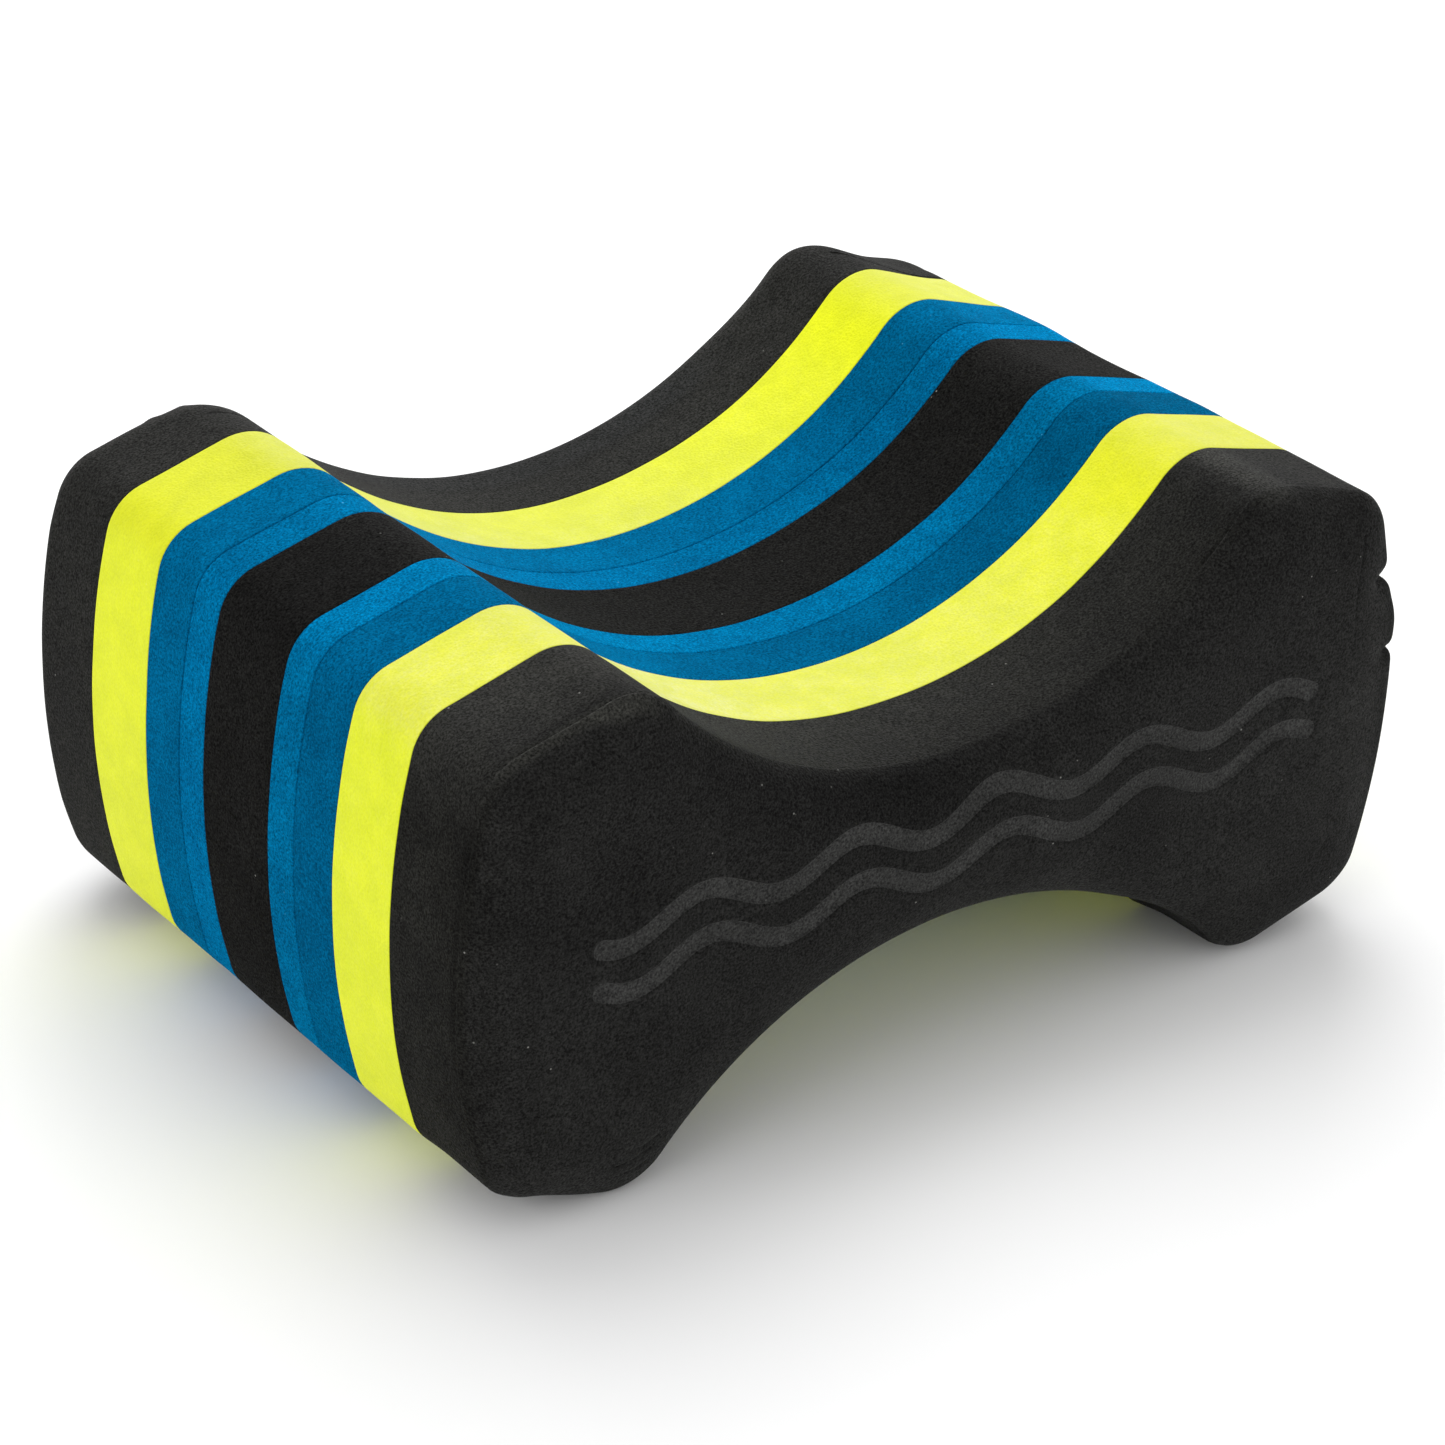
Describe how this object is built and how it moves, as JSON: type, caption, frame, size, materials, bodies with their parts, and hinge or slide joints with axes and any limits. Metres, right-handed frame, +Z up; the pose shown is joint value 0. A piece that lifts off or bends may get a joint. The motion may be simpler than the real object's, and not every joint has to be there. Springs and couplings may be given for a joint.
{
  "type": "pull buoy",
  "caption": "Swimmer's pull buoy: an hourglass block laminated from black, yellow and blue foam plates, with a curved thigh saddle above and below and soft rims on both faces.",
  "frame": {"origin": "on the plane the block rests on, under the middle of the block: halfway along its length, and halfway through the stack of plates", "axes": "+X along the block's length, +Y through the stack of plates from the front slab to the rear slab, +Z up, from one thigh saddle to the other"},
  "size_m": [0.23, 0.1678, 0.1058],
  "materials": {
    "foam_black": "matte",
    "foam_yellow": "matte",
    "foam_blue": "matte",
    "foam_light_blue": "matte",
    "glue_film": "satin"
  },
  "bodies": {
    "root": {"front_black_slab": "foam_black", "front_yellow_plate": "foam_yellow", "front_blue_plate": "foam_blue", "front_thin_blue_plate": "foam_light_blue", "centre_black_plate": "foam_black", "rear_thin_blue_plate": "foam_light_blue", "rear_blue_plate": "foam_blue", "rear_yellow_plate": "foam_yellow", "rear_black_slab": "foam_black", "glue_film_1": "glue_film", "glue_film_2": "glue_film", "glue_film_3": "glue_film", "glue_film_4": "glue_film", "glue_film_5": "glue_film", "glue_film_6": "glue_film", "glue_film_7": "glue_film", "glue_film_8": "glue_film"}
  },
  "joints": []
}
